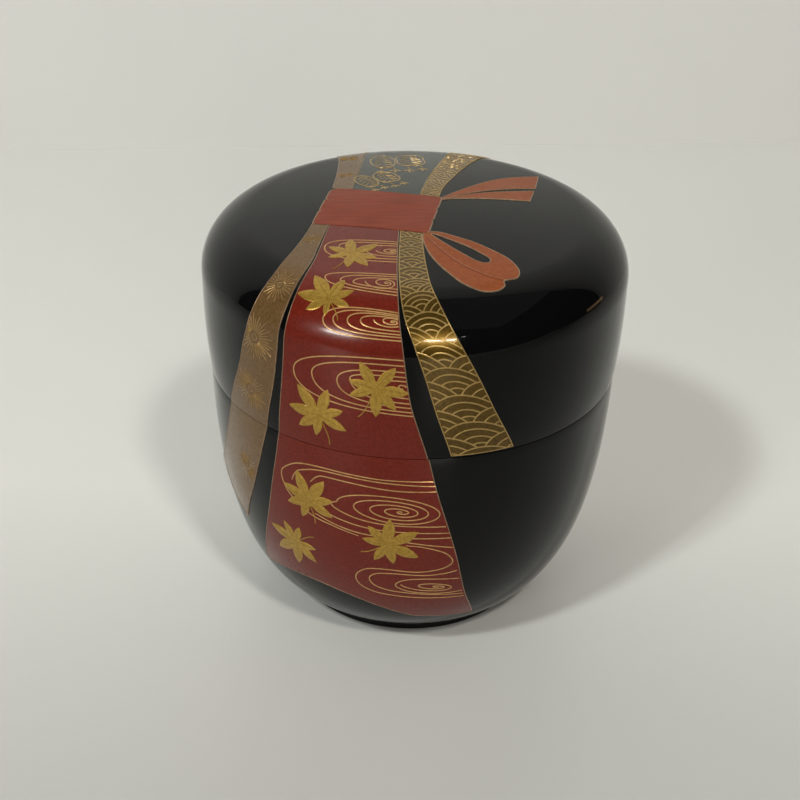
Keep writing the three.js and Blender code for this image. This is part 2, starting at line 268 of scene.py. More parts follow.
class Mesher:
    """Collects closed solids, in millimetres, into one mesh."""

    def __init__(self):
        self.points = []
        self.faces = []
        self.count = 0

    def add(self, points, faces):
        points = np.asarray(points, float).reshape(-1, 3)
        self.faces += [[self.count + i for i in face] for face in faces]
        self.points.append(points)
        self.count += len(points)

    def slab(self, flats, top, ring=False):
        """A closed layer over a grid of places. top is its height, or one height for each place."""
        rows, columns = flats.shape[:2]
        last_row, last = rows - 1, columns - 1
        upper = on_surface(flats, top)
        lower = on_surface(flats, SINK)
        size = rows * columns
        outer = lambda i, j: (i % rows) * columns + j
        inner = lambda i, j: size + (i % rows) * columns + j
        faces = []
        for i in range(rows if ring else last_row):
            for j in range(last):
                faces.append((outer(i, j), outer(i + 1, j), outer(i + 1, j + 1), outer(i, j + 1)))
                faces.append((inner(i, j), inner(i, j + 1), inner(i + 1, j + 1), inner(i + 1, j)))
            faces.append((outer(i, 0), inner(i, 0), inner(i + 1, 0), outer(i + 1, 0)))
            faces.append((outer(i, last), outer(i + 1, last), inner(i + 1, last), inner(i, last)))
        for j in range(0 if ring else last):
            faces.append((outer(0, j), outer(0, j + 1), inner(0, j + 1), inner(0, j)))
            faces.append((outer(last_row, j), inner(last_row, j),
                          inner(last_row, j + 1), outer(last_row, j + 1)))
        self.add(np.concatenate([upper.reshape(-1, 3), lower.reshape(-1, 3)]), faces)

    def thread(self, flats, width, top=LINE_LIFT, closed=False, taper=0.0):
        """A fine raised line along places: a rounded section, which may thin out to its ends."""
        flats = np.asarray(flats, float)
        centre = on_surface(flats, 0)
        normal = on_surface(flats, 1) - centre
        if closed:
            along = np.roll(centre, -1, axis=0) - np.roll(centre, 1, axis=0)
        else:
            along = np.gradient(centre, axis=0)
        side = np.cross(along, normal)
        side /= np.maximum(np.linalg.norm(side, axis=1), 1e-9)[:, None]
        count = len(flats)
        ends = np.minimum(np.linspace(0, 1, count), np.linspace(1, 0, count)) * 2
        shrink = 1 - taper * (1 - np.minimum(ends * 2.5, 1)) ** 2
        section = [(-0.5, SINK), (-0.34, top * 0.8), (0, top), (0.34, top * 0.8), (0.5, SINK)]
        rings = [centre + side * (x * width * shrink)[:, None] + normal * z for x, z in section]
        points = np.stack(rings, axis=1)
        n = len(section)
        faces = []
        for i in range(count if closed else count - 1):
            a, b = i * n, ((i + 1) % count) * n
            faces += [(a + k, a + (k + 1) % n, b + (k + 1) % n, b + k) for k in range(n)]
        if not closed:
            faces.append(tuple(reversed(range(n))))
            faces.append(tuple((count - 1) * n + k for k in range(n)))
        self.add(points, faces)

    def build(self, name, material, body, slot, replaces=(), sharp_degrees=40):
        mesh = bpy.data.meshes.new(name)
        points = np.concatenate(self.points) * MM
        mesh.from_pydata(points.tolist(), [], self.faces)
        mesh.validate()
        mesh.shade_smooth()
        mesh.set_sharp_from_angle(angle=math.radians(sharp_degrees))
        mesh.materials.append(material)
        piece = bpy.data.objects.new(name, mesh)
        bpy.context.scene.collection.objects.link(piece)
        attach(piece, body)
        if replaces:
            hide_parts(*replaces)


def turned(name, profile, material, body, slot, node):
    """A turned solid from a profile that starts and ends on the axis and runs up its outside."""
    profile = np.array(profile, float)
    start, rim, end = profile[0], profile[1:-1], profile[-1]
    angles = np.linspace(0, 2 * math.pi, TURNED_SIDES, endpoint=False)
    ring = np.stack([np.sin(angles), -np.cos(angles)], axis=1)
    points = [(0, 0, start[1]), (0, 0, end[1])]
    for radius, height in rim:
        points += [(radius * x, radius * y, height) for x, y in ring]
    faces = []
    last = 2 + (len(rim) - 1) * TURNED_SIDES
    for k in range(TURNED_SIDES):
        m = (k + 1) % TURNED_SIDES
        faces.append((0, 2 + m, 2 + k))
        faces.append((1, last + k, last + m))
        for row in range(len(rim) - 1):
            a = 2 + row * TURNED_SIDES
            b = a + TURNED_SIDES
            faces.append((a + k, a + m, b + m, b + k))
    mesher = Mesher()
    mesher.add(points, faces)
    mesher.build(name, material, body, slot, [node], sharp_degrees=60)


def arc(centre, radius, start, end, count):
    """Points of an arc in the profile plane, from one angle to another, in degrees."""
    angles = np.radians(np.linspace(start, end, count))
    return [(centre[0] + radius * math.cos(a), centre[1] + radius * math.sin(a)) for a in angles]


# ---- materials

class Look:
    """A material under way: its main shader, and the nodes that feed it."""

    def __init__(self, name):
        self.material = bpy.data.materials.new(name)
        self.material.use_nodes = True
        self.nodes = self.material.node_tree.nodes
        self.shader = self.nodes["Principled BSDF"]

    def set(self, socket, value):
        self.shader.inputs[socket].default_value = value

    def link(self, output, target):
        self.material.node_tree.links.new(output, target)

    def feed(self, output, socket):
        self.link(output, self.shader.inputs[socket])

    def noise(self, scale, detail, stretch=(1, 1, 1)):
        """Noise in the object's own space, at so many features per metre."""
        where = self.nodes.new("ShaderNodeTexCoord")
        mapping = self.nodes.new("ShaderNodeMapping")
        mapping.inputs["Scale"].default_value = stretch
        noise = self.nodes.new("ShaderNodeTexNoise")
        noise.inputs["Scale"].default_value = scale
        noise.inputs["Detail"].default_value = detail
        self.link(where.outputs["Object"], mapping.inputs["Vector"])
        self.link(mapping.outputs["Vector"], noise.inputs["Vector"])
        return noise.outputs["Fac"]

    def ramp(self, value, stops):
        """A colour ramp over a value: stops are (position, colour) pairs."""
        node = self.nodes.new("ShaderNodeValToRGB")
        elements = node.color_ramp.elements
        while len(elements) < len(stops):
            elements.new(0.5)
        for element, (position, colour) in zip(elements, stops):
            element.position = position
            element.color = (*colour, 1)
        self.link(value, node.inputs["Fac"])
        return node.outputs["Color"]

    def bump(self, height, strength, distance):
        bump = self.nodes.new("ShaderNodeBump")
        bump.inputs["Strength"].default_value = strength
        bump.inputs["Distance"].default_value = distance
        self.link(height, bump.inputs["Height"])
        self.feed(bump.outputs["Normal"], "Normal")


def grey(value):
    return (value, value, value)


def black_lacquer(name):
    """Polished black: deep, with faint hazing of the polish and a few fine specks of dust."""
    look = Look(name)
    look.set("IOR", 1.25)
    look.feed(look.ramp(look.noise(90, 4), [(0.3, grey(0.035)), (0.75, grey(0.075))]), "Roughness")
    specks = look.noise(2600, 1)
    look.feed(look.ramp(specks, [(0.80, (0.003, 0.003, 0.0032)), (0.86, (0.02, 0.02, 0.019))]), "Base Color")
    look.bump(look.noise(260, 2), 0.05, 0.0002)
    return look.material


def satin_lacquer(name, dark, light, metallic, roughness, coat, grain=1400, streak=(1, 1, 1)):
    """Coloured lacquer or metal powder: fine speckle in the colour, under a thin clear coat."""
    look = Look(name)
    look.set("Metallic", metallic)
    look.set("IOR", 1.25)
    look.set("Coat Weight", coat)
    look.set("Coat Roughness", 0.1)
    look.set("Coat IOR", 1.3)
    speckle = look.noise(grain, 3, streak)
    look.feed(look.ramp(speckle, [(0.35, dark), (0.65, light)]), "Base Color")
    gloss = [(0.3, grey(roughness * 0.85)), (0.7, grey(roughness * 1.15))]
    look.feed(look.ramp(look.noise(120, 2), gloss), "Roughness")
    look.bump(speckle, 0.12, 0.00005)
    return look.material


BLACK = black_lacquer("black_lacquer")
# For each: its dark and light colours, how metallic it is, its roughness, its clear coat, its grain.
VERMILION = satin_lacquer("vermilion_lacquer", (0.19, 0.031, 0.011), (0.25, 0.044, 0.016), 0.0, 0.45, 0.1,
                          900, (0.25, 2.2, 1))
VERMILION_BOW = satin_lacquer("vermilion_bow", (0.235, 0.052, 0.01), (0.29, 0.07, 0.015), 0.0, 0.45, 0.2)
RED = satin_lacquer("red_lacquer", (0.112, 0.0095, 0.0035), (0.16, 0.015, 0.006), 0.0, 0.3, 0.45, 2600)
COPPER = satin_lacquer("copper_powder", (0.13, 0.068, 0.022), (0.185, 0.105, 0.04), 0.35, 0.38, 0.6, 2400)
COPPER_LINE = satin_lacquer("copper_line", (0.27, 0.165, 0.06), (0.37, 0.24, 0.09), 0.4, 0.35, 0.3)
GOLD = satin_lacquer("gold_powder", (0.078, 0.041, 0.0035), (0.12, 0.067, 0.007), 0.6, 0.3, 0.8, 2400)
GOLD_LINE = satin_lacquer("gold_line", (0.36, 0.235, 0.075), (0.46, 0.31, 0.11), 0.5, 0.3, 0.3)
LEAF_GOLD = satin_lacquer("leaf_gold", (0.34, 0.20, 0.03), (0.46, 0.29, 0.055), 0.5, 0.36, 0.3, 2000)
LEAF_VEIN = satin_lacquer("leaf_vein", (0.24, 0.13, 0.018), (0.33, 0.195, 0.035), 0.5, 0.36, 0.3)
WATER_LINE = satin_lacquer("water_line", (0.46, 0.27, 0.10), (0.58, 0.36, 0.14), 0.4, 0.34, 0.3)
PALE_EDGE = satin_lacquer("pale_edge", (0.26, 0.17, 0.10), (0.36, 0.25, 0.16), 0.4, 0.34, 0.3)
GREEN = satin_lacquer("green_lacquer", (0.004, 0.007, 0.004), (0.010, 0.015, 0.010), 0.0, 0.35, 0.8, 2000)


# ---- the turned pieces

def make_lid():
    dome, shoulder, side = lid_curves()
    foot = RADIUS - LID_TAPER
    rounding = EDGE_ROUND
    outside = bezier(side, 14)[::-1][1:-1].tolist() + bezier(shoulder, 48)[::-1].tolist()
    outside += bezier(dome, 20)[::-1][1:].tolist()
    corner = (LID_BORE - CEILING_CORNER, LID_CEILING - CEILING_CORNER)
    profile = [(0, LID_CEILING)]
    profile += arc(corner, CEILING_CORNER, 90, 0, 14)
    profile += arc((LID_BORE + rounding, LID_BOTTOM + rounding), rounding, 180, 270, 5)
    profile += arc((foot - SEAM_ROUND, LID_BOTTOM + SEAM_ROUND), SEAM_ROUND, 270, 360, 5)
    profile += outside
    turned("lid_shell", profile, BLACK, "lid", "lid_black_lacquer", "lid")


def make_body():
    hollow = FOOT_RADIUS - FOOT_RING_WIDTH
    rounding = EDGE_ROUND
    inner_wall = [(RIM_INNER_RADIUS, SEAM_HEIGHT), (RIM_INNER_RADIUS - BELLY_DRAW, SEAM_HEIGHT - BELLY_DROP),
                  (CAVITY_FLAT + 2 * UNDERSIDE_RUN, CAVITY_FLOOR), (CAVITY_FLAT, CAVITY_FLOOR)]
    profile = [(0, FOOT_HOLLOW), (hollow - FOOT_HOLLOW, FOOT_HOLLOW)]
    profile += arc((hollow + rounding, rounding), rounding, 200, 270, 5)
    profile += arc((FOOT_RADIUS - rounding, rounding), rounding, 270, 360, 6)
    profile += [(FOOT_RADIUS, FOOT_HEIGHT - 0.15)]
    profile += bezier(body_curve(), 60)[::-1][1:-1].tolist()
    profile += arc((BODY_RADIUS - SEAM_ROUND, SEAM_HEIGHT - SEAM_ROUND), SEAM_ROUND, 0, 90, 5)
    profile += [(RIM_OUTER_RADIUS + 0.1, SEAM_HEIGHT), (RIM_OUTER_RADIUS, SEAM_HEIGHT + 0.1)]
    profile += arc((RIM_OUTER_RADIUS - rounding, RIM_TOP - rounding), rounding, 0, 90, 6)
    profile += arc((RIM_INNER_RADIUS + rounding, RIM_TOP - rounding), rounding, 90, 180, 6)
    profile += bezier(inner_wall, 40).tolist()
    profile += [(0, CAVITY_FLOOR)]
    turned("body_shell", profile, BLACK, "body", "body_black_lacquer", "body")


# ---- the ribbons' courses

LID_END = LID_LINE.end - SEAM_MARGIN
BODY_START = LID_LINE.end + SEAM_MARGIN

TIE = Strip([(-13.3, 6.8), (-15.4, -6.95)], [(3.95, 3.0), (1.9, -10.2)], 0, 0)
MAPLE_LID = Strip(
    [(-12.75, -7.2), (-14.3, -18.9), place(-33, 30), place(-32.7, 36.5), place(-34, 44.5),
     place(-36.2, LID_END)],
    [(-2.5, -9.4), (-2.5, -20.2), place(-4.1, 29.5), place(-2.5, 35), place(0, 44.5),
     place(4.4, LID_END)], 0, 1)
MAPLE_BODY = Strip(
    [place(-36.4, BODY_START), place(-38.8, 60), place(-43, 69), place(-48, 76.4), place(-53.5, 83.5)],
    [place(4.7, BODY_START), place(8, 61), place(13.4, 71.5), place(18, 81), place(24, 88.7)], 1, 1)
BURST_LID = Strip(
    [(-15.3, -6.7), (-16.7, -12.9), (-19.3, -20.0), place(-43.6, 32.4), place(-44.9, 36.4),
     place(-47.3, 40.4), place(-50.6, 46), place(-57, LID_END)],
    [(-12.95, -7.1), (-13.85, -13.4), (-15.05, -20.4), place(-34.1, 31.3), place(-34.5, 35.7),
     place(-35.4, 40.4), place(-37.2, 46), place(-40.7, LID_END)], 0, 1)
BURST_BODY = Strip(
    [place(-57, BODY_START), place(-62, 60), place(-69, 66), place(-78, 71)],
    [place(-40.7, BODY_START), place(-44.9, 60.5), place(-50.3, 67.8), place(-57.5, 75.2)], 1, 1)
WAVE_END = LID_END - 0.4
WAVE_FRONT = Strip(
    [(-2.2, -9.5), (-2.2, -20.4), place(-3, 29.5), place(0.4, 35), place(6, 45.3), place(10.4, WAVE_END)],
    [(0.8, -10.2), (1.6, -20.4), place(6.2, 28), place(12, 35.6), place(20.5, 45.6), place(27, WAVE_END)],
    0, 1)
COPPER_BACK = Strip(
    [(-10.3, 6.5), (-9.6, 14.6), (-9.1, 23.2), place(-164, 32), place(-163.5, 40), place(-161, 48)],
    [(-13.2, 7.1), (-12.9, 13.4), (-13.1, 21.8), place(-153, 32), place(-151.5, 40), place(-147, 48)], 0, 0)
PINE_LID = Strip(
    [(0.5, 4.0), (2.0, 12.6), (4.6, 23.2), place(167.5, 32), place(167.5, 42), place(167, LID_END)],
    [(-10.15, 6.4), (-9.4, 14.8), (-8.85, 23.6), place(-165.2, 32), place(-165, 42),
     place(-163.5, LID_END)], 0, 1)
PINE_BODY = Strip(
    [place(167, BODY_START), place(166, 60), place(164, 68), place(160, 76)],
    [place(-163.3, BODY_START), place(-161, 60), place(-157, 68), place(-152, 74)], 1, 1)
WAVE_BACK = Strip(
    [(3.4, 3.4), (4.7, 9.4), (9.7, 22.4), place(153, 32), place(149, 40), place(144, 48)],
    [(0.65, 3.9), (2.15, 12.4), (4.75, 23.2), place(166.3, 32), place(165, 40), place(162, 48)], 0, 0)
TAIL_UPPER = Strip(
    [(3.9, 2.6), (5.8, 3.8), (8.2, 5.5), (10.8, 7.0), (13.5, 8.1), (15.6, 8.9), (18.8, 9.7)],
    [(3.8, 2.9), (5.9, 5.5), (8.5, 8.4), (11.5, 11.4), (14.3, 13.4), (17.3, 14.8), (19.7, 15.6)], 0, 0)
TAIL_LOWER = Strip(
    [(3.9, 2.3), (5.4, 2.9), (8.0, 3.4), (10.7, 3.7), (13.0, 3.85), (15.3, 3.95), (17.6, 4.0)],
    [(3.8, 2.5), (5.8, 3.5), (8.3, 5.0), (10.6, 6.0), (13.1, 6.85), (15.7, 7.6), (18.5, 8.3)], 0, 0)


def no_dip(share):
    """A far end that goes straight across."""
    return 0 * share


def ribbon(name, strip, material, body, slot, node, lift=RIBBON_LIFT, start=0.0, dip=no_dip):
    """The ribbon's own layer of lacquer, from edge to edge of its strip. It may start a little before
    the strip does, under the tie, and its far end stops short by dip, a length for each share."""
    rows = max(8, int(strip.length / RIBBON_STEP))
    columns = max(4, int(strip.widths.max() / RIBBON_STEP_ACROSS))
    along, share = np.meshgrid(np.linspace(0, 1, rows), np.linspace(0, 1, columns), indexing="ij")
    distance = start + (strip.length - dip(share) - start) * along
    mesher = Mesher()
    mesher.slab(strip.place(distance, share), lift)
    mesher.build(name, material, body, slot, [node])


def edge_lines(mesher, strip, width, far_end=True, dip=no_dip):
    """Fine lines along both long edges of a ribbon, and across its far end where it has one."""
    for share in (0.0, 1.0):
        distance = np.linspace(0, strip.length - float(dip(share)), 160)
        mesher.thread(strip.place(distance, share), width)
    if far_end:
        share = np.linspace(0, 1, 80)
        mesher.thread(strip.place(strip.length - dip(share), share), width)


# ---- motifs

def clipped_runs(inside):
    """Index ranges of the stretches where a row of truth values holds, at least 3 long."""
    runs = []
    start = None
    for i, value in enumerate(list(inside) + [False]):
        if value and start is None:
            start = i
        if not value and start is not None:
            if i - start >= 3:
                runs.append((start, i))
            start = None
    return runs


SCALE_RADIUS = 0.7
SCALE_OFFSET = 0.62
SCALE_RINGS = (1.0, 0.77, 0.54, 0.33)
SMALL_SCALE_RINGS = (1.0, 0.68, 0.36)
SMALL_SCALE_WIDTH = 4.4


def scale_top(row):
    """How far down the ribbon a row's scales start; rows close up a little towards its end."""
    return -0.41 + 0.955 * row - 0.017 * row * row


def overlapping_waves(mesher, strip):
    """Rows of fish-scale waves, each row half hidden by the next one towards the ribbon's end.

    They are drawn with lengths counted in local widths, so the scales grow as the ribbon widens.
    Every other row has one scale in the middle; the rows between have one past each edge.
    """
    total = strip.scaled[-1]
    centres = []
    for step in range(-2, 2 * int(total / 0.7) + 6):
        centred = step % 2 == 0
        for x in ((0.5,) if centred else (0.5 - SCALE_OFFSET, 0.5 + SCALE_OFFSET)):
            centres.append((step, x, scale_top(step / 2) + SCALE_RADIUS))
    for step, x, y in centres:
        ahead = [(a, b) for other, a, b in centres if 0 < other - step < 4]
        small = strip.width(strip.unscale(y)) < SMALL_SCALE_WIDTH
        for ring in SMALL_SCALE_RINGS if small else SCALE_RINGS:
            angles = np.linspace(math.pi, 2 * math.pi, 90)
            u = x + SCALE_RADIUS * ring * np.cos(angles)
            v = y + SCALE_RADIUS * ring * np.sin(angles)
            inside = (u > 0.01) & (u < 0.99) & (v > 0.0) & (v < total)
            for a, b in ahead:
                inside &= (u - a) ** 2 + (v - b) ** 2 > (SCALE_RADIUS * 0.998) ** 2
            for start, end in clipped_runs(inside):
                distance = strip.unscale(v[start:end])
                width = 0.2 + 0.012 * strip.width(distance.mean())
                mesher.thread(strip.place(distance, u[start:end]), width)


def near_place(centre, offsets):
    """Places around one place: offsets are (right, towards the lid's centre) in millimetres, in the
    plane that touches the surface there."""
    centre = np.asarray(centre, float)
    reach = float(np.hypot(*centre))
    base = on_surface(centre, 0)
    outward = on_surface(centre, 1) - base
    level = np.array([-centre[1], centre[0], 0.0]) / reach
    rise = np.cross(outward, level)
    offsets = np.asarray(offsets, float)
    spread = base + offsets[..., 0:1] * level + offsets[..., 1:2] * rise
    radius = np.hypot(spread[..., 0], spread[..., 1])
    line = LID_LINE if reach < LID_LINE.end else BODY_LINE
    gap = (radius[..., None] - line.points[:, 0]) ** 2 + (spread[..., 2, None] - line.points[:, 1]) ** 2
    index = np.clip(np.argmin(gap, axis=-1), 1, len(line.points) - 2)
    along = line.points[index + 1] - line.points[index - 1]
    size = np.hypot(along[..., 0], along[..., 1])
    beyond = ((radius - line.points[index, 0]) * along[..., 0]
              + (spread[..., 2] - line.points[index, 1]) * along[..., 1]) / size
    new_reach = np.clip(line.reach[index] + beyond, line.reach[0] + 1e-3, line.end)
    return spread[..., :2] * (new_reach / radius)[..., None]


def turned_by(points, degrees):
    angle = math.radians(degrees)
    rotation = np.array([[math.cos(angle), -math.sin(angle)], [math.sin(angle), math.cos(angle)]])
    return np.asarray(points) @ rotation.T


def maple_leaf(leaf, veins, centre, lobes, stem):
    """A maple leaf: lobes are (direction, length) pairs, in degrees from the right and millimetres,
    in turn round its centre, and stem is one such pair."""
    outline = []
    for direction, length in sorted(lobes):
        along = np.linspace(0.24, 1, 12)
        half = 0.185 * length * np.sin(np.pi * ((along - 0.05) / 0.95) ** 0.95) ** 0.85
        half[-1] = 0
        right = np.stack([along * length, -half], axis=1)
        left = np.stack([along * length, half], axis=1)[::-1][1:]
        outline.append(turned_by(np.concatenate([right, left]), direction))
        spine = np.linspace(0.04, 0.84, 12)
        vein = turned_by(np.stack([spine * length, 0.02 * length * np.sin(spine * 4)], axis=1), direction)
        veins.thread(near_place(centre, vein), 0.1, LEAF_LIFT + 0.03, taper=0.6)
    outline = np.concatenate(outline)
    scales = np.array([1.0, 0.92, 0.75, 0.55, 0.3, 0.02])
    heights = LEAF_LIFT - np.array([0.05, 0.0, 0.0, 0.0, 0.0, 0.0])
    flats = near_place(centre, outline[:, None, :] * scales[None, :, None])
    leaf.slab(flats, heights[None, :], ring=True)
    direction, length = stem
    bend = [(0.2, 0.0), (0.5, 0.035), (0.8, 0.03), (1.0, -0.03)]
    path = turned_by(np.array(bend) * length, direction)
    leaf.thread(near_place(centre, spline(path, 24)), 0.2, LEAF_LIFT)


def water_line(mesher, strip, points):
    """A line of water through (distance, share) points."""
    curve = spline(points, 30 * len(points))
    mesher.thread(strip.place(curve[:, 0], curve[:, 1]), WATER_WIDTH, taper=0.4)


def water_loop(mesher, strip, left, middle, top, bottom):
    """A line of water that runs in from the ribbon's left-hand edge, turns back and runs out again.
    left and middle are the turn's share and distance, top and bottom the distances it runs at."""
    w = np.linspace(-1, 1, 110)
    share = left + (0.995 - left) * np.abs(w) ** 1.9
    settle = 1 - (1 - np.abs(w)) ** 2.5
    distance = middle + (np.where(w < 0, top, bottom) - middle) * settle
    mesher.thread(strip.place(distance, share), WATER_WIDTH)


def water_spiral(mesher, strip, share, distance, half_turns, reach, drift, height, side=1, tail=()):
    """A flattened spiral of water. It starts at its eye and ends at its far left-hand or right-hand
    side, having grown to reach and height, its half sizes, and drifted left by drift. side is 1 or
    -1, the way it turns. A tail of (distance, share) points may run on from its end."""
    angle = np.linspace(0.9, half_turns * math.pi, half_turns * 26)
    grow = (angle / angle[-1]) ** 1.25
    u = share + (reach * grow * np.cos(angle) - drift * grow) / strip.width(distance)
    d = distance + side * height * grow * np.sin(angle)
    if tail:
        run = spline([(d[-13], u[-13]), (d[-1], u[-1]), *tail], 30 * len(tail) + 30)[30:]
        d = np.r_[d[:-1], run[:, 0]]
        u = np.r_[u[:-1], run[:, 1]]
    for a, b in clipped_runs((u < 0.993) & (u > 0.01)):
        mesher.thread(strip.place(d[a:b], u[a:b]), WATER_WIDTH)


def burst(mesher, strip, centre, radius):
    """A chrysanthemum seen from above: fine petals that ray out from its eye, long and short."""
    petals = int(9 * radius)
    width = 0.13 + 0.015 * radius
    for k in range(petals):
        along = np.linspace(0.26, 1.0 if k % 2 else 0.8, 16)[:, None] * radius
        ray = turned_by(np.concatenate([along, 0 * along], axis=1), 360 * k / petals)
        flats = near_place(centre, ray)
        for a, b in clipped_runs(strip.holds(flats, 0.03)):
            mesher.thread(flats[a:b], width, taper=0.5)
    bud = np.linspace(0, 2 * math.pi, 24, endpoint=False)
    ring = 0.13 * radius * np.stack([np.cos(bud), np.sin(bud)], axis=1)
    flats = near_place(centre, ring)
    if strip.holds(flats, 0.03).all():
        mesher.thread(flats, width, closed=True)


# A pine motif's crowns, as (right, up, half width, half height), and its sprigs, as (right, up).
PINE_CROWNS = [(-2.4, 0.4, 1.75, 3.0), (1.6, 0.6, 2.05, 2.6)]
PINE_SPRIGS = [(-3.2, -3.9), (-1.2, -3.6), (0.8, -3.7), (2.7, -3.3)]


def pine(mesher, centre, size):
    """A rounded pine crown beside a lobed one, each with its needles, over a row of small sprigs. It is
    drawn upside down, with its crowns towards the ribbon's far end."""
    def draw(points, width, closed=False):
        mesher.thread(near_place(centre, turned_by(np.array(points) * size, 180)), width, closed=closed)

    for number, (x, y, across, deep) in enumerate(PINE_CROWNS):
        angle = np.linspace(0, 2 * math.pi, 90, endpoint=False)
        lobed = 1 + 0.16 * number * (np.abs(np.sin(angle * 2)) - 0.5)
        crown = [x + across * lobed * np.cos(angle), y + deep * lobed * np.sin(angle)]
        draw(np.stack(crown, axis=1), 0.3, closed=True)
        for k in range(-2, 3):
            row = y + 0.36 * k * deep
            half = 0.8 * across * math.sqrt(1 - (0.36 * k) ** 2)
            for side in (-1, 1):
                draw([(x + side * half * t, row - 0.28 * deep * t) for t in np.linspace(0.1, 0.92, 6)], 0.26)
    for x, y in PINE_SPRIGS:
        draw([(x + 0.25 * t, y + 1.0 * (1 - t)) for t in np.linspace(0.0, 0.7, 5)], 0.22)
        for k in range(3):
            needle = turned_by(np.linspace(0.05, 1.0, 6)[:, None] * [[1.0, 0.0]], 215 + 55 * k)
            draw(needle + [x, y], 0.42)


# ---- the decoration, ribbon by ribbon

PLEATS = 3
PLEAT_DEPTH = 0.012
NICK_DEPTH = 0.4
CORNER_LENGTH = 1.9
CORNER_DEPTH = 1.3


def make_tie():
    """The tie: shallow pleats run across it and nick its two ends, and one corner is cut back.

    It gives back a mesher with the tie's edge lines, for the bow's to join."""
    rows, columns = 97, 50
    along, across = np.linspace(0, TIE.length, rows), np.linspace(0, 1, columns)
    distance, share = np.meshgrid(along, across, indexing="ij")
    wave = np.abs(np.sin(np.pi * PLEATS * distance / TIE.length))
    nick = (1 - wave) ** 8 * NICK_DEPTH / TIE.width(0)
    corner = np.clip(1 - distance / CORNER_LENGTH, 0, 1) ** 2.2 * CORNER_DEPTH / TIE.width(0)
    low = nick + corner
    high = 1 - nick
    share = low + (high - low) * share
    top = BAND_LIFT - PLEAT_DEPTH * (1 - wave) ** 8
    mesher = Mesher()
    mesher.slab(TIE.place(distance, share), top)
    mesher.build("tie_layer", VERMILION, "lid", "vermilion_lacquer", ["tie_band"])
    edge = Mesher()
    for column in (0, columns - 1):
        edge.thread(TIE.place(distance[:, column], share[:, column]), 0.24, BAND_LIFT + 0.04)
    return edge


BOW_OUTLINE = [
    (1.9, -9.6), (3.8, -9.8), (6.0, -11.0), (8.4, -12.4), (10.7, -14.3), (13.0, -16.5), (14.3, -18.8),
    (14.7, -20.6), (14.2, -22.1), (12.5, -23.05), (12.5, -24.2), (11.4, -25.4), (9.2, -25.8), (6.9, -24.6),
    (5.1, -22.3), (3.5, -19.7), (2.3, -17.1), (1.5, -14.4), (1.1, -12.1), (1.1, -10.4)]
BOW_OPENING = [
    (2.3, -10.1), (3.0, -10.4), (4.1, -11.2), (5.9, -12.5), (7.7, -13.9), (9.4, -15.6), (10.4, -16.7),
    (10.75, -17.6), (10.6, -18.2), (10.2, -18.5), (9.8, -18.5), (9.4, -18.4), (8.8, -18.05), (8.2, -17.6),
    (6.5, -15.8), (5.1, -14.2), (3.9, -12.7), (3.2, -11.8), (2.7, -11.1), (2.3, -10.5)]
BOW_FOLD = [
    (1.5, -11.1), (2.0, -12.3), (3.5, -15.1), (5.3, -17.9), (7.0, -19.9), (8.7, -21.3), (10.4, -22.4),
    (12.4, -23.1)]


def make_bow(edge):
    """The bow's loop, its two tails and the fold in the loop. edge gathers the tie's and bow's edges."""
    outline = closed_curve(BOW_OUTLINE, 240)
    opening = closed_curve(BOW_OPENING, 240)
    share = np.linspace(0, 1, 9)[None, :, None]
    loop = Mesher()
    loop.slab(opening[:, None, :] * (1 - share) + outline[:, None, :] * share, BOW_LIFT, ring=True)
    loop.build("bow_loop_layer", VERMILION_BOW, "lid", "vermilion_lacquer", ["bow_loop"])
    edge.thread(outline, 0.24, closed=True)
    edge.thread(opening, 0.2, closed=True)
    for name, strip, node in (("bow_tail_upper_layer", TAIL_UPPER, "bow_tail_upper"),
                              ("bow_tail_lower_layer", TAIL_LOWER, "bow_tail_lower")):
        ribbon(name, strip, VERMILION_BOW, "lid", "vermilion_lacquer", node, BOW_LIFT)
        edge_lines(edge, strip, 0.2)
    edge.thread(spline(BOW_FOLD, 120)[12:] + [0.2, 0.3], 0.14, RIBBON_LIFT + 0.05, taper=0.6)
    edge.build("tie_and_bow_edges", PALE_EDGE, "lid", "gold_powder_lacquer")
    fold = Mesher()
    fold.thread(spline(BOW_FOLD, 120), 0.22, RIBBON_LIFT + 0.06, taper=0.6)
    fold.build("bow_fold", RED, "lid", "red_lacquer")


# Leaves: the place of the centre, the lobes' directions and lengths, the stem's.
LID_LEAVES = [
    ((-9.1, -16.8), [(175, 4.0), (123, 4.5), (66, 4.7), (9, 4.0), (-26, 4.3), (-67, 3.9), (-135, 3.4)],
     (-88, 4.9)),
    ((-11.7, -27.4), [(-179, 5.0), (137, 5.3), (81, 4.1), (38, 3.6), (-8, 3.2), (-86, 2.6), (-141, 3.7)],
     (-50, 3.6)),
    ((-6.3, -41.3), [(167, 3.9), (119, 4.6), (52, 4.5), (-6, 4.7), (-48, 4.3), (-89, 4.6), (-158, 4.0)],
     (-115, 5.5)),
    ((-18.8, -43.8), [(177, 5.0), (129, 5.4), (72, 4.8), (22, 4.0), (-24, 4.5), (-100, 3.8), (-141, 4.4)],
     (-72, 5.0)),
]
BODY_LEAVES = [
    ((-29.8, -56.3), [(160, 4.7), (110, 5.3), (57, 5.2), (14, 4.3), (-28, 4.5), (-110, 3.8), (-157, 4.2)],
     (-76, 4.2)),
    ((-40.7, -60.9), [(167, 5.2), (121, 3.9), (73, 3.5), (-5, 3.6), (-46, 4.6), (-95, 5.1), (-141, 5.4)],
     (35, 4.2)),
    ((-6.7, -68.9), [(171, 3.9), (132, 4.4), (86, 5.0), (30, 5.3), (-29, 5.3), (-77, 4.1), (-120, 4.1)],
     (-150, 4.6)),
]

